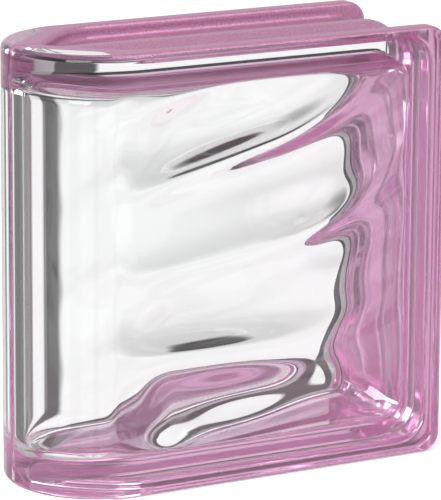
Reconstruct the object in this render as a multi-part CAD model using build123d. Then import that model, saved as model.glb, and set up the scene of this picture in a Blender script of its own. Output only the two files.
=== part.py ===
from build123d import *
import math
import os

# Glass end block: two pressed glass halves fused at a seam, with a sealed hollow between them.
# X runs along the wall, Y through it and Z up. The origin is at the middle of the base.
# The left end (-X) is the finished, half-round one. The other three edges carry the mortar channel.

# Overall size, in millimetres
LENGTH = 190.0
HEIGHT = 190.0
DEPTH = 80.0

# Outer edges
FACE_EDGE_RADIUS = 3.5
CORNER_RADIUS = 8.5
SEAM_EDGE_RADIUS = 2.0

# Mortar channel, its bead at the seam and its pointed end beside the round end
RIM_WIDTH = 11.0
RIM_LIP_RADIUS = 2.5
CHANNEL_DEPTH = 6.0
CHANNEL_FOOT_RADIUS = 3.0
CHANNEL_FLOOR_SHARE = 0.5
CHANNEL_BEND_RADIUS = 10.0
BEAD_DROP = 2.2
BEAD_HALF_WIDTH = 3.0
BEAD_EDGE_RADIUS = 1.5
BEAD_CORNER_RADIUS = 16.0
END_RIM_WIDTH = 15.0
END_RIM_TAPER = 29.0
END_RIM_BULGE = 1.5

# Sealed hollow. The walls lean outwards towards the seam by the mould's draft, in degrees.
FACE_THICKNESS = 8.5
EDGE_WALL = 6.0
MOULD_DRAFT = 6.0
HOLLOW_CORNER_RADIUS = 12.0
HOLLOW_FOOT_RADIUS = 8.5

# Waves pressed into the inner side of each face. The ridges fan out from a point beyond the round end and
# bend upwards on the far side, and the one below the named valley is wider than the rest.
# Each swell raises them round one place: (height, x, z, reach in x, reach in z).
FRONT_WAVES = {
    "floor": 0.3,
    "height": 2.0,
    "spacing": 40.0,
    "valley": 58.0,
    "widening": 1.35,
    "sharpness": 0.6,
    "fan": (-300.0, 65.0),
    "middle": -20.0,
    "bend_start": 10.0,
    "bend": 0.004,
    "swells": [
        (4.0, -45.0, 30.0, 25.0, 12.0),
        (3.5, 0.0, 36.0, 22.0, 12.0),
        (3.0, -24.0, 70.0, 30.0, 8.0),
        (5.0, 5.0, 148.0, 36.0, 12.0),
        (4.0, 35.0, 108.0, 14.0, 9.0),
        (-2.0, 60.0, 85.0, 22.0, 12.0),
    ],
}
BACK_WAVES = {
    "floor": 0.2,
    "height": 1.0,
    "spacing": 41.0,
    "valley": 43.0,
    "widening": 1.25,
    "sharpness": 0.5,
    "fan": (-612.0, 5.0),
    "middle": 15.0,
    "bend_start": 40.0,
    "bend": 0.004,
    "swells": [
        (2.5, 8.0, 30.0, 30.0, 14.0),
        (3.0, 2.0, 66.0, 30.0, 12.0),
        (3.5, 42.0, 135.0, 35.0, 14.0),
        (3.0, 68.0, 92.0, 12.0, 10.0),
        (-1.0, 80.0, 30.0, 20.0, 16.0),
    ],
}
WAVE_STEP = 4.0
WAVE_FIT = 0.1

# How far the cutting tools run past the block, and the slack for finding edges
REACH = 30.0
SLACK = 0.01

half_depth = DEPTH / 2
left_x = -LENGTH / 2
right_x = LENGTH / 2
end_centre_x = left_x + half_depth
channel_wall_y = RIM_WIDTH - half_depth
channel_tip_x = left_x + END_RIM_WIDTH
channel_start_x = channel_tip_x + END_RIM_TAPER


def front_outline(inset, radius):
    """Front view, inset from the block's top, right side and base, and run on past the round end."""
    left = left_x - REACH
    right = right_x - inset
    sketch = Plane.XZ * Pos((left + right) / 2, HEIGHT / 2) * Rectangle(right - left, HEIGHT - 2 * inset)
    return fillet(sketch.vertices().sort_by(Axis.X)[-2:], radius)


def plan_prism(radius):
    """Upright prism with the block's plan: a round end and straight faces at the same radius."""
    right = right_x + REACH
    straight = Pos((end_centre_x + right) / 2, 0) * Rectangle(right - end_centre_x, 2 * radius)
    outline = Pos(end_centre_x, 0) * Circle(radius) + straight
    return extrude(Pos(0, 0, -REACH) * outline, amount=HEIGHT + 2 * REACH)


def is_face_edge(edge):
    """True for the edges that run round the front face and on round the finished end."""
    middle = edge.center()
    if middle.Y > -SLACK:
        return False
    if edge.geom_type != GeomType.LINE:
        return True
    direction = edge.tangent_at(0)
    crosses_wall = abs(direction.Y) > 0.9
    on_round_end = abs(direction.Z) > 0.9 and middle.X < 0
    return not (crosses_wall or on_round_end)


def outer_form():
    """Outside of the front half before the channel is cut."""
    solid = extrude(front_outline(0, CORNER_RADIUS), amount=half_depth + REACH) & plan_prism(half_depth)
    return fillet(solid.edges().filter_by(is_face_edge), FACE_EDGE_RADIUS)


def channel_section():
    """Section of the material that the mould leaves out round the edges, from the rim to past the seam."""
    foot = (channel_wall_y, -CHANNEL_DEPTH)
    bend = (channel_wall_y * (1 - CHANNEL_FLOOR_SHARE), -CHANNEL_DEPTH)
    bead_edge = (-BEAD_HALF_WIDTH, -BEAD_DROP)
    outline = [(channel_wall_y, REACH), foot, bend, bead_edge, (REACH, -BEAD_DROP), (REACH, REACH)]
    section = make_face(Polyline(*outline, close=True))
    rounds = [(foot, CHANNEL_FOOT_RADIUS), (bend, CHANNEL_BEND_RADIUS), (bead_edge, BEAD_EDGE_RADIUS)]
    for corner, radius in rounds:
        nearest = section.vertices().sort_by_distance((corner[0], corner[1], 0))[0]
        section = fillet(nearest, radius)
    start = Plane(origin=(left_x - REACH, 0, HEIGHT), x_dir=(0, 1, 0), z_dir=(1, 0, 0))
    return start * section


def channel_plan():
    """Plan of the channel, whose end wall slants from the straight rim to its tip at the seam."""
    far = right_x + 2 * REACH
    with BuildSketch() as plan:
        with BuildLine():
            Polyline(
                (channel_tip_x, 0),
                (channel_tip_x, REACH),
                (far, REACH),
                (far, -half_depth),
                (channel_start_x, -half_depth),
                (channel_start_x, channel_wall_y),
            )
            SagittaArc((channel_start_x, channel_wall_y), (channel_tip_x, 0), END_RIM_BULGE)
        make_face()
    return extrude(Pos(0, 0, -REACH) * plan.sketch, amount=HEIGHT + 2 * REACH)


def channel():
    """Material that the mortar channel takes from the top, the right side and the base."""
    left = left_x - REACH
    right = right_x - BEAD_DROP
    top = HEIGHT - BEAD_DROP
    corners = [(left, 0, top), (right, 0, top), (right, 0, BEAD_DROP), (left, 0, BEAD_DROP)]
    path = FilletPolyline(*corners, radius=BEAD_CORNER_RADIUS)
    return sweep(channel_section(), path=path) & channel_plan()


def is_lip(edge):
    """True for the edges between the rim's flat bearing faces and the channel."""
    box = edge.bounding_box()
    if box.min.Y < channel_wall_y - SLACK or box.min.Y > -SLACK:
        return False
    if box.max.Y - box.min.Y > SLACK and abs(edge.tangent_at(0).Y) > 0.9:
        return False
    on_top = box.min.Z > HEIGHT - SLACK
    on_base = box.max.Z < SLACK
    on_side = box.min.X > right_x - CORNER_RADIUS - SLACK and box.max.X > right_x - SLACK
    return on_top or on_base or on_side


def is_seam_crease(edge):
    """True for the outer edges at the seam on the finished end, down to the channel's tip."""
    box = edge.bounding_box()
    return box.min.Y > -SLACK and edge.center().X < channel_tip_x


def relief(waves, x, z):
    """Height of the pressed waves above the face's thinnest glass."""
    fan_x, fan_z = waves["fan"]
    bend = waves["bend"] * max(x - waves["bend_start"], 0.0) ** 2
    level = fan_z + (z - fan_z) * (waves["middle"] - fan_x) / (x - fan_x) - bend - waves["valley"]
    level = max(level, 0.0) + min(level, 0.0) / waves["widening"]
    turn = 2 * math.pi * level / waves["spacing"]
    ridge = (1 - math.cos(turn + waves["sharpness"] * math.sin(turn))) / 2
    height = waves["height"]
    for rise, swell_x, swell_z, reach_x, reach_z in waves["swells"]:
        height += rise * math.exp(-(((x - swell_x) / reach_x) ** 2 + ((z - swell_z) / reach_z) ** 2) / 2)
    return waves["floor"] + height * ridge


def wavy_glass(waves):
    """Glass of the front face with its rolling inner side, run on past the hollow all round."""
    columns = round(LENGTH / WAVE_STEP)
    rows = round(HEIGHT / WAVE_STEP)
    grid = []
    for column in range(columns + 1):
        x = left_x + LENGTH * column / columns
        heights = [HEIGHT * row / rows for row in range(rows + 1)]
        grid.append([(x, FACE_THICKNESS - half_depth + relief(waves, x, z), z) for z in heights])
    surface = Face.make_surface_from_array_of_points(grid, tol=WAVE_FIT, min_deg=3, max_deg=3)
    return extrude(surface, amount=REACH, dir=(0, -1, 0))


def is_hollow_foot(edge):
    """True for the edges at the bottom of the hollow, on the face and on round the finished end."""
    box = edge.bounding_box()
    if box.min.Y > -SLACK:
        return False
    upright_on_end = box.max.Z - box.min.Z > HEIGHT / 2 and box.max.X < 0
    on_face = box.max.Y < FACE_THICKNESS - half_depth + SLACK
    on_end = box.max.X < end_centre_x + SLACK
    return (on_face or on_end) and not upright_on_end


def hollow():
    """The front half's share of the sealed hollow, with a plain face side."""
    inset = CHANNEL_DEPTH + EDGE_WALL
    tray = extrude(front_outline(inset, HOLLOW_CORNER_RADIUS), amount=half_depth, taper=MOULD_DRAFT)
    tray &= plan_prism(half_depth - FACE_THICKNESS)
    return fillet(tray.edges().filter_by(is_hollow_foot), HOLLOW_FOOT_RADIUS)


def outer_half():
    """The front half with its channel and rims, before it is hollowed."""
    half = outer_form() - channel()
    half = fillet(half.edges().filter_by(is_lip), RIM_LIP_RADIUS)
    return fillet(half.edges().filter_by(is_seam_crease), SEAM_EDGE_RADIUS)


# Both halves have the same outside and hollow, and each face has waves of its own.
os.makedirs("parts", exist_ok=True)
outside = outer_half()
tray = hollow()
front = outside - (tray - wavy_glass(FRONT_WAVES))
back = mirror(outside - (tray - wavy_glass(BACK_WAVES)), about=Plane.XZ)
export_step(front, "parts/front_shell.step")
export_step(back, "parts/back_shell.step")
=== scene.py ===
import math

import bmesh
import bpy
import numpy as np
from bpy.props import FloatProperty, FloatVectorProperty, PointerProperty
from mathutils import Matrix, Vector


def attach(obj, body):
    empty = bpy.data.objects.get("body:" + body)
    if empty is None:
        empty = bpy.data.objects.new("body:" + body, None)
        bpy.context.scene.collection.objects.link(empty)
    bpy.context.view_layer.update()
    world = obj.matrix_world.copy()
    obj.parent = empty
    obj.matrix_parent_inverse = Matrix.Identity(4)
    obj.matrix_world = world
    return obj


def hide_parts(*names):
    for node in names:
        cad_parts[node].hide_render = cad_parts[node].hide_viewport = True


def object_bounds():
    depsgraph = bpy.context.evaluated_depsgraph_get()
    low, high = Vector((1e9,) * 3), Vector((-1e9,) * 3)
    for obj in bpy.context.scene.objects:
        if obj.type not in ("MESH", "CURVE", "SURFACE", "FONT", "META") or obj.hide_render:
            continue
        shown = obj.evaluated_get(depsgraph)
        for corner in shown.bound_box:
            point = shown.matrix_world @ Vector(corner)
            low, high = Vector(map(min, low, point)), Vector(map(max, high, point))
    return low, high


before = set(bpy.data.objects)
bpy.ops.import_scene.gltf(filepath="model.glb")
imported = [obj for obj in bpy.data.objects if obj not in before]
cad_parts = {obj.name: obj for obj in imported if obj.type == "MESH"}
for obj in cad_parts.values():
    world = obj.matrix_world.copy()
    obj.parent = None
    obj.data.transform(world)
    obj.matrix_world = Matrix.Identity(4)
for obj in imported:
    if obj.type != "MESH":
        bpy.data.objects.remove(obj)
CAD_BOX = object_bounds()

# A hollow pressed-glass wall block with one half-round finished end. Its other edges carry the mortar
# channel and a satin coating. Sizes are in metres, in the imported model's own frame: +X along the wall away
# from the round end, +Y through the wall and +Z up, with the origin at the middle of the base.

bl_info = {
    "name": "Glass end block",
    "version": (1, 0, 0),
    "blender": (4, 5, 0),
    "location": "View3D > Sidebar > Glass Block",
    "description": "Builds a pressed-glass wall block with a round finished end and a coated mortar channel",
    "category": "Mesh",
}

RIGHT = CAD_BOX[1].x
HALF_DEPTH = CAD_BOX[1].y
HEIGHT = CAD_BOX[1].z
END_CENTRE = HALF_DEPTH - RIGHT
SWELLS = 6

# Points closer than WELD are one point. SUPPORT parts the last row of a rounding from the flat beside it.
WELD = 0.000002
SUPPORT = 0.0005


def length(name, description, default):
    """A size that a user may change, in metres."""
    return FloatProperty(name=name, description=description, default=default, unit="LENGTH", precision=4)


class GlassBlockShape(bpy.types.PropertyGroup):
    """Sizes of the pressed glass."""

    face_edge_radius: length("Face edge radius", "Rounding between a face and the rims", 0.0035)
    corner_radius: length("Corner radius", "Rounding of the face's two square corners", 0.0085)
    seam_edge_radius: length("Seam edge radius", "Rounding on each side of the seam's crease", 0.002)
    rim_width: length("Rim width", "Width of a rim, from the face to the channel", 0.011)
    lip_radius: length("Lip radius", "Rounding between a rim and the channel", 0.0025)
    channel_depth: length("Channel depth", "Depth of the mortar channel below the rims", 0.006)
    foot_radius: length("Channel foot radius", "Rounding where the channel's wall meets its floor", 0.003)
    floor_width: length("Channel floor end", "Distance from the seam where the floor starts to rise", 0.0145)
    bead_drop: length("Bead drop", "Depth of the seam's bead below the rims", 0.0022)
    bead_half_width: length("Bead half width", "Half the width of the seam's bead", 0.003)
    bead_corner_radius: length("Bead corner radius", "Rounding of the bead at the square corners", 0.016)
    end_rim_width: length("End rim width", "Width of the rim at the tip of the channel", 0.015)
    end_rim_taper: length("End rim taper", "Length of the channel's slanting end", 0.029)
    end_rim_bulge: length("End rim bulge", "How far the slanting end bows outwards", 0.0015)
    face_thickness: length("Face thickness", "Thinnest glass of a face", 0.0085)
    edge_wall: length("Edge wall", "Glass between the channel's floor and the hollow, at the seam", 0.006)
    draft: FloatProperty(
        name="Mould draft",
        description="Lean of the hollow's walls",
        default=math.radians(6.0),
        subtype="ANGLE",
    )
    hollow_corner_radius: length("Hollow corner radius", "Rounding of its corners at the seam", 0.012)
    hollow_foot_radius: length("Hollow foot radius", "Rounding between its walls and a face", 0.0085)


def pair(name, description, default):
    """A size of the front pressing and of the back one, in metres."""
    return FloatVectorProperty(
        name=name,
        description=f"{description}, on the front and on the back",
        size=2,
        default=default,
        unit="LENGTH",
        precision=4,
    )


def swells(name, description, default):
    """Places where one face's ridges rise, in millimetres."""
    return FloatVectorProperty(
        name=name,
        description=f"{description}: height, x, z, reach in x and reach in z, in millimetres",
        size=(SWELLS, 5),
        default=default,
    )


class GlassBlockWaves(bpy.types.PropertyGroup):
    """The ridges pressed into the inner side of each face, which fan out from beyond the round end."""

    floor: pair("Floor", "Glass above the thinnest of the face in the valleys", (0.0003, 0.0002))
    height: pair("Height", "Height of the ridges away from the swells", (0.002, 0.001))
    spacing: pair("Spacing", "Distance between valleys at the middle", (0.04, 0.041))
    valley: pair("Valley", "Height above the base of one valley at the middle", (0.058, 0.043))
    middle: pair("Middle", "Place along the wall where spacing and valley are taken", (-0.02, 0.015))
    fan_x: pair("Fan X", "Place along the wall from which the ridges fan out", (-0.3, -0.612))
    fan_z: pair("Fan Z", "Height from which the ridges fan out", (0.065, 0.005))
    bend_start: pair("Bend start", "Place along the wall where the ridges start to bend", (0.01, 0.04))
    bend: FloatVectorProperty(
        name="Bend",
        description="How sharply the ridges bend upwards, per metre, on the front and on the back",
        size=2,
        default=(4.0, 4.0),
    )
    sharpness: FloatVectorProperty(
        name="Sharpness",
        description="How much sharper the valleys are than the ridges, on the front and on the back",
        size=2,
        default=(0.6, 0.5),
    )
    widening: FloatVectorProperty(
        name="Widening",
        description="How much wider the lowest ridge is than the rest, on the front and on the back",
        size=2,
        default=(1.35, 1.25),
    )
    fade_start: pair("Fade start", "Place along the wall where the waves begin", (-0.066, -0.06))
    fade_end: pair("Fade end", "Place along the wall where the waves are at full height", (-0.035, -0.035))
    fade_level: pair("Fade level", "Glass above the thinnest before the waves begin", (0.001, 0.00015))
    blend: length("Blend", "Width over which the waves run into the walls", 0.001)
    front_swells: swells(
        "Front swells",
        "Places where the front ridges rise",
        (
            (4.0, -45.0, 30.0, 25.0, 12.0),
            (3.5, 0.0, 36.0, 22.0, 12.0),
            (3.0, -24.0, 70.0, 30.0, 8.0),
            (5.0, 5.0, 148.0, 36.0, 12.0),
            (4.0, 35.0, 108.0, 14.0, 9.0),
            (-2.0, 60.0, 85.0, 22.0, 12.0),
        ),
    )
    back_swells: swells(
        "Back swells",
        "Places where the back ridges rise",
        (
            (2.5, 8.0, 30.0, 30.0, 14.0),
            (3.0, 2.0, 66.0, 30.0, 12.0),
            (3.5, 42.0, 135.0, 35.0, 14.0),
            (3.0, 68.0, 92.0, 12.0, 10.0),
            (-1.0, 80.0, 30.0, 20.0, 16.0),
            (0.0, 0.0, 0.0, 1.0, 1.0),
        ),
    )


class GlassBlockFinish(bpy.types.PropertyGroup):
    """Colours of the glass, the coating and the stage."""

    glass: FloatVectorProperty(
        name="Glass tint",
        description="Tint of the clear glass",
        subtype="COLOR",
        size=3,
        default=(0.985, 0.99, 0.99),
    )
    coating: FloatVectorProperty(
        name="Coating",
        description="Colour of the satin coating on the edges",
        subtype="COLOR",
        size=3,
        default=(0.49, 0.22, 0.365),
    )
    # Colour for the coating's inner side: the same paint made paler, as painted light standing in for the
    # light that reaches it through the glass.
    coating_inside_painted_lighter: FloatVectorProperty(
        name="Coating inside",
        description="Colour of the coating's inner side, seen through the glass",
        subtype="COLOR",
        size=3,
        default=(0.72, 0.39, 0.6),
    )
    floor: FloatVectorProperty(
        name="Floor",
        description="Colour of the floor",
        subtype="COLOR",
        size=3,
        default=(0.9, 0.9, 0.9),
    )


def settings():
    """The scene's three groups of settings: shape, waves and finish."""
    scene = bpy.context.scene
    return scene.glass_block_shape, scene.glass_block_waves, scene.glass_block_finish


# Small geometry helpers


def angles(count, start=0.0, end=90.0):
    """Evenly spaced angles in radians, both ends included."""
    return [math.radians(start + (end - start) * i / count) for i in range(count + 1)]


def steps(start, end, count):
    """Evenly spaced numbers, both ends included."""
    return [start + (end - start) * i / count for i in range(count + 1)]


def smooth_min(a, b, width):
    """The lower of two numbers, rounded where they come within width of each other."""
    overlap = max(width - abs(a - b), 0.0) / width
    return min(a, b) - overlap * overlap * width / 4


def resample(points, shares):
    """Points at the given shares of a polyline's length."""
    line = np.array(points)
    runs = np.concatenate([[0.0], np.cumsum(np.linalg.norm(np.diff(line, axis=0), axis=1))])
    at = np.array(shares) * runs[-1]
    return [(np.interp(a, runs, line[:, 0]), np.interp(a, runs, line[:, 1])) for a in at]


def mesh_from_grids(grids, faces=()):
    """One mesh from several grids of points and loose polygons, with the points that coincide joined."""
    bm = bmesh.new()
    for grid in grids:
        rows = [[bm.verts.new(point) for point in row] for row in grid]
        for lower, upper in zip(rows, rows[1:]):
            for i in range(len(lower) - 1):
                bm.faces.new((lower[i], lower[i + 1], upper[i + 1], upper[i]))
    for face in faces:
        bm.faces.new([bm.verts.new(point) for point in face])
    bmesh.ops.remove_doubles(bm, verts=bm.verts, dist=WELD)
    bmesh.ops.dissolve_degenerate(bm, dist=WELD, edges=bm.edges)
    bmesh.ops.recalc_face_normals(bm, faces=bm.faces)
    return bm


# Outer skin


class Skin:
    """The outer skin's section and its plan at the round end, worked out from the shape."""

    # Widths over which two runs blend, how far the end wall's line runs on, and the steps of each run
    LEAD_IN = 0.006
    FLOOR_BLEND = 0.0015
    BEAD_BLEND = 0.0006
    SLANT_BLEND = 0.008
    LINE_LEAD = 0.004
    LINE_TAIL = 0.012
    LINE_STEPS = 400
    ROUND_STEPS = 8
    FOOT_STEPS = 6
    FLOOR_STEPS = 26
    CORNER_STEPS = 14
    STRAIGHT_STEPS = 12
    TURN_STEPS = 36
    LAST_TURN = 82.0
    RIM_SHARES = (0.08, 0.36, 0.64, 0.92)
    NEAR_SEAM = (0.0045, 0.0035, 0.0028, 0.0022, 0.0018, 0.0014, 0.001, 0.0007, 0.0004, 0.0002, 0.0)

    def __init__(self, shape):
        self.shape = shape
        self.wall = HALF_DEPTH - shape.rim_width
        self.tip_x = shape.end_rim_width - RIGHT
        self.start_x = self.tip_x + shape.end_rim_taper
        self.straight_x = self.start_x + self.LEAD_IN
        self.bead_centre = shape.bead_drop + shape.bead_corner_radius
        self.rows = self.section()
        self.shares, self.ring = self.end_stations()
        offsets = [offset for _, _, _, offset, kind in self.rows if kind in ("lip", "foot")]
        self.lines = {offset: self.wall_line(offset) for offset in offsets}
        self.lines["rim"] = self.wall_line(-shape.lip_radius)
        self.lines["floor"] = self.wall_line(shape.foot_radius)

    def floor_depth(self, q):
        """Depth of the channel's floor and bead, q from the seam."""
        s = self.shape
        rise = (s.channel_depth - s.bead_drop) / (s.floor_width - s.bead_half_width)
        slope = s.bead_drop + (q - s.bead_half_width) * rise
        deep = smooth_min(slope, s.channel_depth, self.FLOOR_BLEND)
        return -smooth_min(-deep, -s.bead_drop, self.BEAD_BLEND)

    def crease(self, q):
        """Depth of the crease at the seam of the finished end, q from the seam."""
        radius = self.shape.seam_edge_radius
        if q >= radius:
            return 0.0
        return radius - math.sqrt(radius**2 - (radius - q) ** 2)

    def section(self):
        """Rows from the face to the seam: distance from the seam, depth, corner centre, offset and kind."""
        s = self.shape
        edge, lip, foot = s.face_edge_radius, s.lip_radius, s.foot_radius
        rows = [(HALF_DEPTH, edge + SUPPORT, s.corner_radius, 0.0, "edge")]
        for a in angles(self.ROUND_STEPS):
            q = HALF_DEPTH - edge * (1 - math.cos(a))
            rows.append((q, edge * (1 - math.sin(a)), s.corner_radius, a, "edge"))
        rim_in, rim_out = self.wall + lip, HALF_DEPTH - edge
        for share in self.RIM_SHARES:
            rows.append((rim_out + (rim_in - rim_out) * share, 0.0, s.corner_radius, share, "rim"))
        for a in angles(self.ROUND_STEPS):
            offset = lip * (math.sin(a) - 1)
            rows.append((self.wall - offset, lip * (1 - math.cos(a)), s.corner_radius, offset, "lip"))
        for a in angles(self.FOOT_STEPS):
            offset = foot * (1 - math.cos(a))
            depth = s.channel_depth - foot * (1 - math.sin(a))
            rows.append((self.wall - offset, depth, self.bead_centre, offset, "foot"))
        start = self.wall - foot
        for share in steps(0.0, 1.0, self.FLOOR_STEPS)[1:]:
            q = start * (1 - share)
            rows.append((q, self.floor_depth(q), self.bead_centre, share, "floor"))
        return rows

    def end_stations(self):
        """Stations round the finished end: shares of the way, and (x, turn) places on the outer ring."""
        radius = HALF_DEPTH - self.shape.face_edge_radius
        straight = self.straight_x - END_CENTRE
        places = [(self.straight_x - straight * t, 0.0) for t in steps(0.0, 1.0, self.STRAIGHT_STEPS)]
        turns = angles(self.TURN_STEPS, 0.0, self.LAST_TURN)[1:]
        turns += [math.acos(q / radius) for q in self.NEAR_SEAM]
        places += [(END_CENTRE, turn) for turn in turns]
        total = straight + radius * math.pi / 2
        shares = [(self.straight_x - x + radius * turn) / total for x, turn in places]
        return shares, places

    def wall_line(self, offset):
        """The channel's end wall in plan, offset into the channel and run to the seam."""
        s = self.shape
        steepness = math.hypot(s.end_rim_taper, self.wall) / s.end_rim_taper
        line = []
        for x in steps(self.straight_x + self.LINE_LEAD, self.tip_x - self.LINE_TAIL, self.LINE_STEPS):
            t = (x - self.tip_x) / s.end_rim_taper
            bow = 4 * s.end_rim_bulge * steepness * t * (1 - t) if t > 0 else 0.0
            slant = self.wall * t + bow
            line.append((x, smooth_min(slant, self.wall, self.SLANT_BLEND)))
        line = np.array(line)
        along = np.gradient(line, axis=0)
        normal = np.stack([-along[:, 1], along[:, 0]], axis=1)
        normal /= np.linalg.norm(normal, axis=1)[:, None]
        moved = line + normal * offset
        kept = [tuple(p) for p in moved if p[0] <= self.straight_x and p[1] > 0]
        last = next(tuple(p) for p in moved if p[1] <= 0)
        share = kept[-1][1] / (kept[-1][1] - last[1])
        end = kept[-1][0] + (last[0] - kept[-1][0]) * share
        start = (self.straight_x, self.wall - offset)
        return resample([start] + kept + [(end, 0.0)], self.shares)

    def ring_point(self, station, radius):
        """Plan place of a station at a radius from the finished end's axis."""
        x, turn = self.ring[station]
        return x - radius * math.sin(turn), radius * math.cos(turn)

    def end_point(self, row, station):
        """A point of the skin at the finished end's top."""
        q, depth, _, value, kind = row
        if kind == "edge":
            edge = self.shape.face_edge_radius
            x, near = self.ring_point(station, q)
            out, up = (q - HALF_DEPTH + edge) / edge, max(0.0, 1 - depth / edge)
            sink = self.crease(near)
            x, near = self.ring_point(station, q - sink * out)
            return x, -near, HEIGHT - depth - sink * up
        if kind == "rim":
            outer = self.ring_point(station, HALF_DEPTH - self.shape.face_edge_radius)
            inner = self.lines["rim"][station]
            x, near = (a + (b - a) * value for a, b in zip(outer, inner))
            return x, -near, HEIGHT - self.crease(near)
        if kind == "floor":
            x, start = self.lines["floor"][station]
            near = start * (1 - value)
            return x, -near, HEIGHT - self.floor_depth(near)
        x, near = self.lines[value][station]
        deep = max(min(self.floor_depth(near), depth), self.crease(near))
        return x, -near, HEIGHT - deep

    def quarter(self):
        """Grid of the front half's upper quarter, from the finished end's seam round to the right side."""
        grid = []
        for row in self.rows:
            q, depth, centre, _, _ = row
            points = [self.end_point(row, i) for i in range(len(self.ring) - 1, -1, -1)]
            for x in (self.straight_x + SUPPORT, RIGHT - centre - SUPPORT):
                points.append((x, -q, HEIGHT - depth))
            radius = centre - depth
            for a in angles(self.CORNER_STEPS):
                x = RIGHT - centre + radius * math.sin(a)
                points.append((x, -q, HEIGHT - centre + radius * math.cos(a)))
            points.append((RIGHT - depth, -q, HEIGHT - centre - SUPPORT))
            grid.append(points)
        return grid

    def half(self):
        """Grids and the face polygon of the front half."""
        upper = self.quarter()
        grid = [row + [(x, y, HEIGHT - z) for x, y, z in reversed(row)] for row in upper]
        border = grid[0]
        turned = [i for i, (_, turn) in enumerate(self.ring) if turn > 0]
        first = len(turned)
        face = border[first : len(border) - first]
        wall = [border[: first + 1], border[len(border) - first - 1 :][::-1]]
        return [grid, wall], face


def outer_skin(shape):
    """Bmesh of the whole outer skin."""
    grids, face = Skin(shape).half()
    back_grids = [[[(x, -y, z) for x, y, z in row] for row in grid] for grid in grids]
    back_face = [(x, -y, z) for x, y, z in face]
    return mesh_from_grids(grids + back_grids, [face, back_face])


# Hollow


class Hollow:
    """The front half of the sealed hollow, before its face side takes the waves."""

    # Side of one cell of the grid, and the steps of the rounding at the foot of the walls
    CELL = 0.0013
    FOOT_STEPS = 18

    def __init__(self, shape):
        self.inset = shape.channel_depth + shape.edge_wall
        self.right = RIGHT - self.inset
        self.corner = shape.hollow_corner_radius
        self.depth = HALF_DEPTH - shape.face_thickness
        self.radius = shape.hollow_foot_radius
        self.slope = math.tan(shape.draft)
        self.foot_centre = self.depth - self.radius
        self.foot_inset = self.foot_centre * self.slope + self.radius / math.cos(shape.draft)
        self.wall_end = self.foot_inset - self.radius * math.cos(shape.draft)
        self.margin = [0.0, self.wall_end / 2]
        for a in angles(self.FOOT_STEPS, math.degrees(shape.draft), 90.0):
            self.margin.append(self.foot_inset - self.radius * math.cos(a))

    def deep(self, inside):
        """Distance from the seam plane, at a distance inside the hollow's outline."""
        if inside < self.wall_end:
            return inside / self.slope
        if inside < self.foot_inset:
            rest = self.foot_inset - inside
            return self.foot_centre + math.sqrt(max(self.radius**2 - rest**2, 0.0))
        return self.depth

    def heights(self):
        """Heights of the rows, from the base to the top."""
        low = [self.inset + m for m in self.margin]
        high = [HEIGHT - z for z in reversed(low)]
        count = round((high[0] - low[-1]) / self.CELL)
        return low + steps(low[-1], high[0], count)[1:-1] + high

    def columns(self):
        """Places of the columns from the round end's axis to the right wall."""
        last = [self.right - m for m in reversed(self.margin)]
        count = round((last[0] - END_CENTRE) / self.CELL)
        return steps(END_CENTRE, last[0], count)[:-1] + last

    def straight_point(self, x, z):
        """A point beside the round end, with the right corners rounded."""
        inside = min(self.right - x, z - self.inset, HEIGHT - self.inset - z)
        up = 1 if z > HEIGHT / 2 else -1
        centre_x = self.right - self.corner
        centre_z = HEIGHT / 2 + up * (HEIGHT / 2 - self.inset - self.corner)
        p, r = (x - centre_x) / self.corner, up * (z - centre_z) / self.corner
        if p > 0 and r > 0:
            round_p, round_r = p * math.sqrt(1 - r * r / 2), r * math.sqrt(1 - p * p / 2)
            inside = self.corner * (1 - math.hypot(round_p, round_r))
            x = centre_x + round_p * self.corner
            z = centre_z + up * round_r * self.corner
        return x, -self.deep(max(inside, 0.0)), z

    def end_point(self, turn, z):
        """A point of the round end."""
        inside = min(z - self.inset, HEIGHT - self.inset - z)
        radius = self.deep(inside)
        centred = (HEIGHT / 2 - self.inset - inside) / (HEIGHT / 2 - self.inset - self.foot_inset)
        lean = min(inside, self.wall_end) * min(1.0, centred) * (1 - math.cos(turn))
        z += lean if z > HEIGHT / 2 else -lean
        return END_CENTRE - radius * math.sin(turn), -radius * math.cos(turn), z

    def grid(self):
        """Rows of the front half, from the seam at the round end to the right wall."""
        turns = angles(round(self.depth * math.pi / 2 / self.CELL))
        rows = []
        for z in self.heights():
            row = [self.end_point(turn, z) for turn in reversed(turns)]
            rows.append(row + [self.straight_point(x, z) for x in self.columns()[1:]])
        return rows


def hollow_skin(shape):
    """Bmesh of the hollow, with its faces turned towards the air inside."""
    grid = Hollow(shape).grid()
    back = [[(x, -y, z) for x, y, z in row] for row in grid]
    bm = mesh_from_grids([grid, back])
    bmesh.ops.reverse_faces(bm, faces=bm.faces)
    return bm


# Geometry nodes for the waves


class NodeBuilder:
    """Adds and joins the nodes of one tree."""

    def __init__(self, tree):
        self.tree = tree

    def node(self, kind, **values):
        """A node with its own settings."""
        made = self.tree.nodes.new(kind)
        for name, value in values.items():
            setattr(made, name, value)
        return made

    def join(self, source, target):
        """Joins an output to an input."""
        self.tree.links.new(source, target)

    def feed(self, target, value):
        """Sets an input to a number, or joins it to an output."""
        if isinstance(value, bpy.types.NodeSocket):
            self.join(value, target)
        else:
            target.default_value = value

    def maths(self, operation, *values, **extra):
        """A Math node's output."""
        made = self.node("ShaderNodeMath", operation=operation, **extra)
        for i, value in enumerate(values):
            self.feed(made.inputs[i], value)
        return made.outputs[0]


RIDGE_INPUTS = (
    "Floor",
    "Height",
    "Spacing",
    "Valley",
    "Widening",
    "Sharpness",
    "Fan X",
    "Fan Z",
    "Middle",
    "Bend Start",
    "Bend",
    "Fade Start",
    "Fade End",
    "Fade Level",
)
SWELL_INPUTS = ("Rise", "Swell X", "Swell Z", "Reach X", "Reach Z")
MILLIMETRE = 0.001


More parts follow.
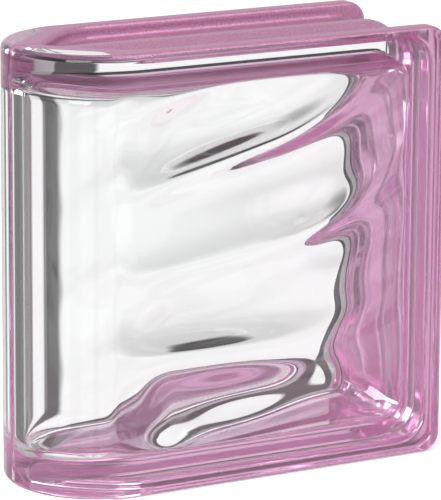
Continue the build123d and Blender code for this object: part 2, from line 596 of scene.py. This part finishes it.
def ridge_share(build, given, x, z):
    """How high a place is between the valleys, 0, and the ridges' crests, 1."""
    run = build.maths("SUBTRACT", given["Middle"], given["Fan X"])
    spread = build.maths("DIVIDE", run, build.maths("SUBTRACT", x, given["Fan X"]))
    above = build.maths("SUBTRACT", z, given["Fan Z"])
    level = build.maths("MULTIPLY_ADD", above, spread, given["Fan Z"])
    past = build.maths("MAXIMUM", build.maths("SUBTRACT", x, given["Bend Start"]), 0.0)
    bend = build.maths("MULTIPLY", build.maths("MULTIPLY", past, past), given["Bend"])
    level = build.maths("SUBTRACT", level, build.maths("ADD", bend, given["Valley"]))
    low = build.maths("DIVIDE", build.maths("MINIMUM", level, 0.0), given["Widening"])
    level = build.maths("ADD", build.maths("MAXIMUM", level, 0.0), low)
    turn = build.maths("MULTIPLY", build.maths("DIVIDE", level, given["Spacing"]), 2 * math.pi)
    turn = build.maths("MULTIPLY_ADD", build.maths("SINE", turn), given["Sharpness"], turn)
    return build.maths("MULTIPLY_ADD", build.maths("COSINE", turn), -0.5, 0.5)


def swell_height(build, given, number, x, z):
    """Height that one swell adds to the ridges."""
    rise, swell_x, swell_z, reach_x, reach_z = (given[f"{name} {number}"] for name in SWELL_INPUTS)
    across = build.maths("DIVIDE", build.maths("SUBTRACT", x, swell_x), reach_x)
    upward = build.maths("DIVIDE", build.maths("SUBTRACT", z, swell_z), reach_z)
    squares = build.maths("MULTIPLY_ADD", across, across, build.maths("MULTIPLY", upward, upward))
    return build.maths("MULTIPLY", build.maths("EXPONENT", build.maths("MULTIPLY", squares, -0.5)), rise)


def faded(build, given, waves, x):
    """The waves' height, dying out towards the round end."""
    fade = build.node("ShaderNodeMapRange", interpolation_type="SMOOTHSTEP")
    build.join(x, fade.inputs["Value"])
    build.join(given["Fade Start"], fade.inputs["From Min"])
    build.join(given["Fade End"], fade.inputs["From Max"])
    rise = build.maths("SUBTRACT", waves, given["Fade Level"])
    return build.maths("MULTIPLY_ADD", rise, fade.outputs[0], given["Fade Level"])


def wave_tree(glass):
    """Moves one face side of the hollow onto its ridges. Side is -1 for the front and 1 for the back."""
    tree = bpy.data.node_groups.new("pressed_waves", "GeometryNodeTree")
    face = tree.interface
    face.new_socket("Geometry", in_out="INPUT", socket_type="NodeSocketGeometry")
    names = ["Side", "Face Depth", "Blend", *RIDGE_INPUTS]
    names += [f"{name} {number}" for number in range(1, SWELLS + 1) for name in SWELL_INPUTS]
    for name in names:
        face.new_socket(name, in_out="INPUT", socket_type="NodeSocketFloat")
    face.new_socket("Geometry", in_out="OUTPUT", socket_type="NodeSocketGeometry")
    build = NodeBuilder(tree)
    given = build.node("NodeGroupInput").outputs
    place = build.node("ShaderNodeSeparateXYZ")
    build.join(build.node("GeometryNodeInputPosition").outputs[0], place.inputs[0])
    x, y, z = place.outputs
    height = given["Height"]
    for number in range(1, SWELLS + 1):
        height = build.maths("ADD", height, swell_height(build, given, number, x, z))
    waves = build.maths("MULTIPLY_ADD", height, ridge_share(build, given, x, z), given["Floor"])
    relief = faded(build, given, waves, x)
    limit = build.maths("SUBTRACT", given["Face Depth"], relief)
    near = build.maths("MULTIPLY", y, given["Side"])
    deep = build.maths("SMOOTH_MIN", near, limit, given["Blend"])
    moved = build.node("ShaderNodeCombineXYZ")
    build.join(x, moved.inputs[0])
    build.join(build.maths("MULTIPLY", deep, given["Side"]), moved.inputs[1])
    build.join(z, moved.inputs[2])
    setter = build.node("GeometryNodeSetPosition")
    build.join(given["Geometry"], setter.inputs["Geometry"])
    build.join(build.maths("GREATER_THAN", near, 0.0), setter.inputs["Selection"])
    build.join(moved.outputs[0], setter.inputs["Position"])
    realize = build.node("GeometryNodeRealizeInstances")
    build.join(setter.outputs[0], realize.inputs[0])
    paint = build.node("GeometryNodeSetMaterial")
    paint.inputs["Material"].default_value = glass
    build.join(realize.outputs[0], paint.inputs["Geometry"])
    build.join(paint.outputs[0], build.node("NodeGroupOutput").inputs[0])
    return tree


def wave_inputs(shape, waves, side):
    """Values of the wave tree's inputs, in metres, for the front (side 0) or the back (side 1)."""
    values = {
        "Side": (-1.0, 1.0)[side],
        "Face Depth": HALF_DEPTH - shape.face_thickness,
        "Blend": waves.blend,
    }
    for name in RIDGE_INPUTS:
        values[name] = getattr(waves, name.lower().replace(" ", "_"))[side]
    places = (waves.front_swells, waves.back_swells)[side]
    for number, place in enumerate(places, 1):
        for name, value in zip(SWELL_INPUTS, place):
            values[f"{name} {number}"] = value * MILLIMETRE
    return values


def pressed_waves(obj, shape, waves, glass):
    """The object's mesh after the wave tree has pressed both faces, as a plain mesh."""
    tree = wave_tree(glass)
    for side in (0, 1):
        modifier = obj.modifiers.new(f"waves_{side}", "NODES")
        modifier.node_group = tree
        values = wave_inputs(shape, waves, side)
        for socket in tree.interface.items_tree:
            if socket.in_out == "INPUT" and socket.name in values:
                modifier[socket.identifier] = values[socket.name]
    graph = bpy.context.evaluated_depsgraph_get()
    made = bpy.data.meshes.new_from_object(obj.evaluated_get(graph))
    obj.modifiers.clear()
    return made


# Materials

MOTTLE_INPUTS = (
    ("Dark", "NodeSocketColor"),
    ("Light", "NodeSocketColor"),
    ("Scale", "NodeSocketFloat"),
    ("Detail", "NodeSocketFloat"),
)
GLASS_IOR = 1.5
GLASS_MOTTLE = 60.0
GRAIN_SCALE = 1100.0
GRAIN_DETAIL = 3.0
GRAIN_DEPTH = 0.0002

# Values of the coating's outer side and of its inner side, which is seen through the glass
COATING_SPREAD = (0.5, 0.1)
COATING_ROUGHNESS = (0.36, 0.13)
COATING_METAL = (0.45, 0.75)
COATING_BUMP = (0.35, 0.05)


def new_material(name):
    """An empty node material with its output."""
    material = bpy.data.materials.new(name)
    material.use_nodes = True
    material.node_tree.nodes.clear()
    build = NodeBuilder(material.node_tree)
    return material, build, build.node("ShaderNodeOutputMaterial")


def mottle_tree():
    """Shader group that varies a colour from dark to light with noise. It is built on its first use."""
    tree = bpy.data.node_groups.get("mottle")
    if tree:
        return tree
    tree = bpy.data.node_groups.new("mottle", "ShaderNodeTree")
    for name, kind in MOTTLE_INPUTS:
        tree.interface.new_socket(name, in_out="INPUT", socket_type=kind)
    tree.interface.new_socket("Colour", in_out="OUTPUT", socket_type="NodeSocketColor")
    tree.interface.new_socket("Height", in_out="OUTPUT", socket_type="NodeSocketFloat")
    build = NodeBuilder(tree)
    given = build.node("NodeGroupInput").outputs
    where = build.node("ShaderNodeTexCoord")
    noise = build.node("ShaderNodeTexNoise")
    build.join(where.outputs["Object"], noise.inputs["Vector"])
    build.join(given["Scale"], noise.inputs["Scale"])
    build.join(given["Detail"], noise.inputs["Detail"])
    shade = build.node("ShaderNodeMix", data_type="RGBA")
    build.join(noise.outputs[0], shade.inputs[0])
    build.join(given["Dark"], shade.inputs[6])
    build.join(given["Light"], shade.inputs[7])
    results = build.node("NodeGroupOutput").inputs
    build.join(shade.outputs[2], results["Colour"])
    build.join(noise.outputs[0], results["Height"])
    return tree


def mottle(build, dark, light, scale, detail=2.0):
    """The mottle placed in a material with its own values. Gives its outputs, Colour and Height."""
    placed = build.node("ShaderNodeGroup", node_tree=mottle_tree())
    placed.inputs["Dark"].default_value = (*dark, 1.0)
    placed.inputs["Light"].default_value = (*light, 1.0)
    placed.inputs["Scale"].default_value = scale
    placed.inputs["Detail"].default_value = detail
    return placed.outputs


def clear_glass(finish):
    """Clear pressed glass. Shadow rays pass straight through it, so that it lets the studio's light in."""
    material, build, output = new_material("clear_glass")
    tint = mottle(build, finish.glass, (1.0, 1.0, 1.0), GLASS_MOTTLE)
    shader = build.node("ShaderNodeBsdfPrincipled")
    build.join(tint["Colour"], shader.inputs["Base Color"])
    shader.inputs["Roughness"].default_value = 0.0
    shader.inputs["IOR"].default_value = GLASS_IOR
    shader.inputs["Transmission Weight"].default_value = 1.0
    clear = build.node("ShaderNodeBsdfTransparent")
    path = build.node("ShaderNodeLightPath")
    mix = build.node("ShaderNodeMixShader")
    build.join(path.outputs["Is Shadow Ray"], mix.inputs[0])
    build.join(shader.outputs[0], mix.inputs[1])
    build.join(clear.outputs[0], mix.inputs[2])
    build.join(mix.outputs[0], output.inputs["Surface"])
    return material


def metal_grain(build, colour, spread):
    """The mottle as fine grain, darker and lighter than a colour by a share of it."""
    dark = [c * (1 - spread) for c in colour]
    light = [min(1.0, c * (1 + spread)) for c in colour]
    return mottle(build, dark, light, GRAIN_SCALE, GRAIN_DETAIL)


def by_side(build, inside, values):
    """The first value on the outer side and the second on the inner side."""
    outer, inner = values
    return build.maths("MULTIPLY_ADD", inside, inner - outer, outer)


def edge_coating(finish):
    """Satin coating with fine metal grain. Through the glass, its inner side is smoother and takes a paler
    copy of the colour, which is painted light standing in for the light that reaches it there.
    """
    material, build, output = new_material("edge_coating")
    inside = build.node("ShaderNodeNewGeometry").outputs["Backfacing"]
    outer_grain = metal_grain(build, finish.coating, COATING_SPREAD[0])
    # The inner side's grain varies the paler copy of the coating: real grain on top of painted light.
    inner_grain_painted_lighter = metal_grain(build, finish.coating_inside_painted_lighter, COATING_SPREAD[1])
    colour = build.node("ShaderNodeMix", data_type="RGBA")
    build.join(inside, colour.inputs[0])
    build.join(outer_grain["Colour"], colour.inputs[6])
    build.join(inner_grain_painted_lighter["Colour"], colour.inputs[7])
    bump = build.node("ShaderNodeBump")
    build.join(by_side(build, inside, COATING_BUMP), bump.inputs["Strength"])
    bump.inputs["Distance"].default_value = GRAIN_DEPTH
    build.join(outer_grain["Height"], bump.inputs["Height"])
    shader = build.node("ShaderNodeBsdfPrincipled")
    build.join(colour.outputs[2], shader.inputs["Base Color"])
    build.join(by_side(build, inside, COATING_ROUGHNESS), shader.inputs["Roughness"])
    build.join(bump.outputs[0], shader.inputs["Normal"])
    build.join(by_side(build, inside, COATING_METAL), shader.inputs["Metallic"])
    build.join(shader.outputs[0], output.inputs["Surface"])
    return material


# Coating's edge

# The coating stops part of the way round the faces' edges. On the round end's top and base it stops at a
# line that slants away from the seam up to its stop and runs straight on from there to the face. Left of
# END_ZONE, everything further in than the channel's depth is the round end's side, which is bare.
COATED_EDGE = 0.3
COATING_START = Vector((-0.085, 0.0098, 0.0))
COATING_SLANT = 1.04
COATING_STOP = -0.066
END_ZONE = -0.04
END_ZONE_MARGIN = 0.001


def is_coated(centre, shape):
    """True where the skin meets mortar: the rims and the channel, but not the faces or the round end."""
    x, y, z = centre
    outward = math.hypot(min(x - END_CENTRE, 0.0), y)
    near_face = outward > HALF_DEPTH - shape.face_edge_radius * COATED_EDGE
    inward = min(HEIGHT - z, z)
    on_end_side = x < END_ZONE and inward > shape.channel_depth + END_ZONE_MARGIN
    slant_x = COATING_START.x + (abs(y) - COATING_START.y) * COATING_SLANT
    return not near_face and not on_end_side and x > min(slant_x, COATING_STOP)


def end_faces(skin, shape, side):
    """The skin's faces on the round end's top and base, on the front (side -1) or the back (side 1)."""
    found = set()
    for face in skin.faces:
        x, y, z = face.calc_center_median()
        if x < END_ZONE and y * side > 0 and min(HEIGHT - z, z) < shape.channel_depth:
            found.add(face)
    return found


def cut_skin(skin, faces, point, normal):
    """Cuts the given faces of the skin along a plane, with every part kept."""
    parts = [face for face in skin.faces if face in faces]
    parts += [edge for edge in skin.edges if not faces.isdisjoint(edge.link_faces)]
    parts += [vert for vert in skin.verts if not faces.isdisjoint(vert.link_faces)]
    bmesh.ops.bisect_plane(skin, geom=parts, dist=WELD, plane_co=point, plane_no=normal)


def cut_coating_edge(skin, shape):
    """Cuts the skin along the coating's edge on the round end, so that the edge is a clean line."""
    for side in (-1, 1):
        start = Vector((COATING_START.x, side * COATING_START.y, 0.0))
        slant = Vector((1.0, -side * COATING_SLANT, 0.0))
        cut_skin(skin, end_faces(skin, shape, side), start, slant)
        stop = Vector((COATING_STOP, 0.0, 0.0))
        cut_skin(skin, end_faces(skin, shape, side), stop, Vector((1.0, 0.0, 0.0)))


# The block's operator

SHARP_ANGLE = 38.0


def wavy_hollow(scene, shape, waves, glass):
    """Mesh of the hollow with the waves pressed into both faces."""
    mesh = bpy.data.meshes.new("hollow")
    skin = hollow_skin(shape)
    skin.to_mesh(mesh)
    skin.free()
    carrier = bpy.data.objects.new("hollow", mesh)
    scene.collection.objects.link(carrier)
    bpy.context.view_layer.update()
    wavy = pressed_waves(carrier, shape, waves, glass)
    bpy.data.objects.remove(carrier)
    return wavy


class GLASSBLOCK_OT_block(bpy.types.Operator):
    """Build the glass block: its outer skin, its wavy hollow and its coated edges"""

    bl_idname = "mesh.glass_block"
    bl_label = "Glass block"

    def execute(self, context):
        shape, waves, finish = settings()
        glass, coating = clear_glass(finish), edge_coating(finish)
        skin = outer_skin(shape)
        cut_coating_edge(skin, shape)
        for polygon in skin.faces:
            coated = is_coated(polygon.calc_center_median(), shape)
            polygon.material_index = 1 if coated else 0
        skin.from_mesh(wavy_hollow(context.scene, shape, waves, glass))
        mesh = bpy.data.meshes.new("glass_block")
        skin.to_mesh(mesh)
        skin.free()
        for material in (glass, coating):
            mesh.materials.append(material)
        mesh.shade_smooth()
        mesh.set_sharp_from_angle(angle=math.radians(SHARP_ANGLE))
        block = bpy.data.objects.new("glass_block", mesh)
        context.scene.collection.objects.link(block)
        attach(block, "root")
        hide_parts("front_shell", "back_shell")
        return {"FINISHED"}


# Stage: floor, light and camera

# The camera is fitted to the block's outline in the photograph. The lens and the sensor are in millimetres.
CAMERA_PLACE = Vector((-0.72697, -1.31665, 0.45821))
CAMERA_RIGHT = Vector((0.87610, -0.48208, 0.00596))
CAMERA_UP = Vector((0.10810, 0.20846, 0.97204))
CAMERA_LENS = 257.98
CAMERA_SENSOR = 36.0
CAMERA_SHIFT = (0.02173, -0.00916)

# The studio's walls are white, with dark upright flags. A flag has its first and last direction, in degrees
# from +Y towards +X, and its brightness.
FLAGS = (
    (-50.0, -11.3, 0.16),
    (-6.5, 8.5, 0.18),
    (16.5, 23.2, 0.08),
    (43.0, 62.0, 0.08),
    (62.0, 88.0, 0.4),
    (115.0, 130.0, 0.15),
    (149.0, 157.0, 0.12),
    (-157.0, -149.0, 0.12),
    (-130.0, -115.0, 0.15),
)
FLAG_SOFTNESS = 1.2

# Elevations in degrees: the walls dim a little from their foot to their top, and a dark gap parts them from
# the lights. Only rays through glass see these. Gloss and soft light see an even brightness.
WALL_FOOT = -14.0
WALL_TOP = 0.5
WALL_SOFTNESS = 0.5
WALL_TOP_BRIGHTNESS = 0.7
LIGHT_BOTTOM = 17.5
LIGHT_SOFTNESS = 1.0
LIGHT_BRIGHTNESS = 0.9
GAP_BRIGHTNESS = 0.04
GLOSS_BRIGHTNESS = 0.75
DIFFUSE_BRIGHTNESS = 0.6

# Square soft lamps, aimed at a point of the block: name, place, width and power in watts
LAMP_TARGET = (0.0, 0.0, 0.1)
LAMPS = (
    ("key", (-1.1, -0.9, 0.9), 0.8, 12.0),
    ("fill", (0.45, -0.35, 1.45), 0.7, 4.5),
    ("kicker", (-0.6, 1.1, 0.3), 0.5, 7.0),
)
FLOOR_REACH = 3.0
FLOOR_GLOW = 0.35
FLOOR_ROUGHNESS = 0.8
FLOOR_MOTTLE = 3.0
FLOOR_LIGHTER = 1.03

# How often light may pass or bounce off the glass
BOUNCES = {
    "max_bounces": 24,
    "transmission_bounces": 24,
    "glossy_bounces": 12,
    "transparent_max_bounces": 16,
}


def ramp(build, value, start, end, low, high):
    """A soft step from low to high between two angles in degrees."""
    made = build.node("ShaderNodeMapRange", interpolation_type="SMOOTHSTEP")
    build.join(value, made.inputs["Value"])
    made.inputs["From Min"].default_value = math.radians(start)
    made.inputs["From Max"].default_value = math.radians(end)
    made.inputs["To Min"].default_value = low
    made.inputs["To Max"].default_value = high
    return made.outputs[0]


def studio_bands(build, direction):
    """Brightness of the studio by direction: white walls, dark flags, and a dark gap up to the lights."""
    split = build.node("ShaderNodeSeparateXYZ")
    build.join(direction, split.inputs[0])
    x, y, z = split.outputs
    around = build.maths("ARCTAN2", x, y)
    flat = build.maths("SQRT", build.maths("MULTIPLY_ADD", x, x, build.maths("MULTIPLY", y, y)))
    up = build.maths("ARCTAN2", z, flat)
    total = None
    for first, last, brightness in FLAGS:
        rise = ramp(build, around, first - FLAG_SOFTNESS, first + FLAG_SOFTNESS, 0.0, 1.0)
        fall = ramp(build, around, last - FLAG_SOFTNESS, last + FLAG_SOFTNESS, 1.0, 0.0)
        inside = build.maths("MULTIPLY", rise, fall)
        flag = build.maths("MULTIPLY_ADD", inside, brightness - 1.0, 1.0)
        total = flag if total is None else build.maths("MULTIPLY", total, flag)
    shade = ramp(build, up, WALL_FOOT, WALL_TOP, 1.0, WALL_TOP_BRIGHTNESS)
    above = ramp(build, up, WALL_TOP - WALL_SOFTNESS, WALL_TOP + WALL_SOFTNESS, 0.0, 1.0)
    low, high = LIGHT_BOTTOM - LIGHT_SOFTNESS, LIGHT_BOTTOM + LIGHT_SOFTNESS
    lights = ramp(build, up, low, high, GAP_BRIGHTNESS, LIGHT_BRIGHTNESS)
    kept = build.maths("SUBTRACT", 1.0, above)
    level = build.maths("MULTIPLY_ADD", shade, kept, build.maths("MULTIPLY", above, lights))
    return build.maths("MULTIPLY", total, level)


def past_floor(build):
    """1 for rays that left a glossy or clear surface, which pass through the floor."""
    path = build.node("ShaderNodeLightPath")
    return build.maths("MAXIMUM", path.outputs["Is Transmission Ray"], path.outputs["Is Glossy Ray"])


def stage_material(finish):
    """Pale floor that keeps the block's shadow. Glass and gloss see through it to the studio."""
    material, build, output = new_material("pale_floor")
    lighter = [min(1.0, c * FLOOR_LIGHTER) for c in finish.floor]
    shade = mottle(build, finish.floor, lighter, FLOOR_MOTTLE)
    shader = build.node("ShaderNodeBsdfPrincipled")
    build.join(shade["Colour"], shader.inputs["Base Color"])
    shader.inputs["Roughness"].default_value = FLOOR_ROUGHNESS
    shader.inputs["Emission Color"].default_value = (1.0, 1.0, 1.0, 1.0)
    shader.inputs["Emission Strength"].default_value = FLOOR_GLOW
    clear = build.node("ShaderNodeBsdfTransparent")
    mix = build.node("ShaderNodeMixShader")
    build.join(past_floor(build), mix.inputs[0])
    build.join(shader.outputs[0], mix.inputs[1])
    build.join(clear.outputs[0], mix.inputs[2])
    build.join(mix.outputs[0], output.inputs["Surface"])
    return material


def backdrop_world():
    """White backdrop for the camera, the studio's walls through glass, and plain light for the rest."""
    world = bpy.data.worlds.new("studio")
    world.use_nodes = True
    world.node_tree.nodes.clear()
    build = NodeBuilder(world.node_tree)
    output = build.node("ShaderNodeOutputWorld")
    where = build.node("ShaderNodeTexCoord")
    path = build.node("ShaderNodeLightPath")
    plain = build.node("ShaderNodeMix", data_type="FLOAT")
    build.join(path.outputs["Is Glossy Ray"], plain.inputs[0])
    plain.inputs[2].default_value = DIFFUSE_BRIGHTNESS
    plain.inputs[3].default_value = GLOSS_BRIGHTNESS
    strength = build.node("ShaderNodeMix", data_type="FLOAT")
    build.join(path.outputs["Is Transmission Ray"], strength.inputs[0])
    build.join(plain.outputs[0], strength.inputs[2])
    build.join(studio_bands(build, where.outputs["Generated"]), strength.inputs[3])
    shown = build.maths("MAXIMUM", strength.outputs[0], path.outputs["Is Camera Ray"])
    sky = build.node("ShaderNodeBackground")
    sky.inputs["Color"].default_value = (1.0, 1.0, 1.0, 1.0)
    build.join(shown, sky.inputs["Strength"])
    build.join(sky.outputs[0], output.inputs["Surface"])
    return world


def area_light(name, place, size, power):
    """A square soft lamp that faces the block."""
    data = bpy.data.lights.new(name, "AREA")
    data.size = size
    data.energy = power
    lamp = bpy.data.objects.new(name, data)
    lamp.location = place
    lamp.rotation_euler = (Vector(LAMP_TARGET) - Vector(place)).to_track_quat("-Z", "Y").to_euler()
    bpy.context.scene.collection.objects.link(lamp)
    return lamp


class GLASSBLOCK_OT_stage(bpy.types.Operator):
    """Build the stage: floor, soft studio light and the camera"""

    bl_idname = "scene.glass_block_stage"
    bl_label = "Studio stage"

    def execute(self, context):
        _, _, finish = settings()
        scene = context.scene
        mesh = bpy.data.meshes.new("floor")
        signs = ((-1, -1), (1, -1), (1, 1), (-1, 1))
        corners = [(across * FLOOR_REACH, along * FLOOR_REACH, 0.0) for across, along in signs]
        mesh.from_pydata(corners, [], [(0, 1, 2, 3)])
        mesh.materials.append(stage_material(finish))
        floor = bpy.data.objects.new("floor", mesh)
        scene.collection.objects.link(floor)
        scene.world = backdrop_world()
        for name, place, size, power in LAMPS:
            area_light(name, place, size, power)
        data = bpy.data.cameras.new("camera")
        data.lens = CAMERA_LENS
        data.sensor_width = CAMERA_SENSOR
        data.shift_x, data.shift_y = CAMERA_SHIFT
        camera = bpy.data.objects.new("camera", data)
        back = CAMERA_RIGHT.cross(CAMERA_UP)
        camera.matrix_world = Matrix((CAMERA_RIGHT, CAMERA_UP, back)).transposed().to_4x4()
        camera.location = CAMERA_PLACE
        scene.collection.objects.link(camera)
        scene.camera = camera
        scene.view_settings.view_transform = "Standard"
        for name, count in BOUNCES.items():
            setattr(scene.cycles, name, count)
        return {"FINISHED"}


class GLASSBLOCK_PT_panel(bpy.types.Panel):
    """Lists the block's operators."""

    bl_idname = "GLASSBLOCK_PT_panel"
    bl_label = "Glass block"
    bl_space_type = "VIEW_3D"
    bl_region_type = "UI"
    bl_category = "Glass Block"

    def draw(self, context):
        self.layout.operator(GLASSBLOCK_OT_block.bl_idname)
        self.layout.operator(GLASSBLOCK_OT_stage.bl_idname)


CLASSES = (
    GlassBlockShape,
    GlassBlockWaves,
    GlassBlockFinish,
    GLASSBLOCK_OT_block,
    GLASSBLOCK_OT_stage,
    GLASSBLOCK_PT_panel,
)


def register():
    """Registers the classes and the scene's settings."""
    for made in CLASSES:
        bpy.utils.register_class(made)
    bpy.types.Scene.glass_block_shape = PointerProperty(type=GlassBlockShape)
    bpy.types.Scene.glass_block_waves = PointerProperty(type=GlassBlockWaves)
    bpy.types.Scene.glass_block_finish = PointerProperty(type=GlassBlockFinish)


def unregister():
    """Takes the classes and the settings away again."""
    del bpy.types.Scene.glass_block_finish
    del bpy.types.Scene.glass_block_waves
    del bpy.types.Scene.glass_block_shape
    for made in reversed(CLASSES):
        bpy.utils.unregister_class(made)


def main():
    """Builds everything."""
    register()
    bpy.ops.mesh.glass_block()
    bpy.ops.scene.glass_block_stage()


if __name__ == "__main__":
    main()
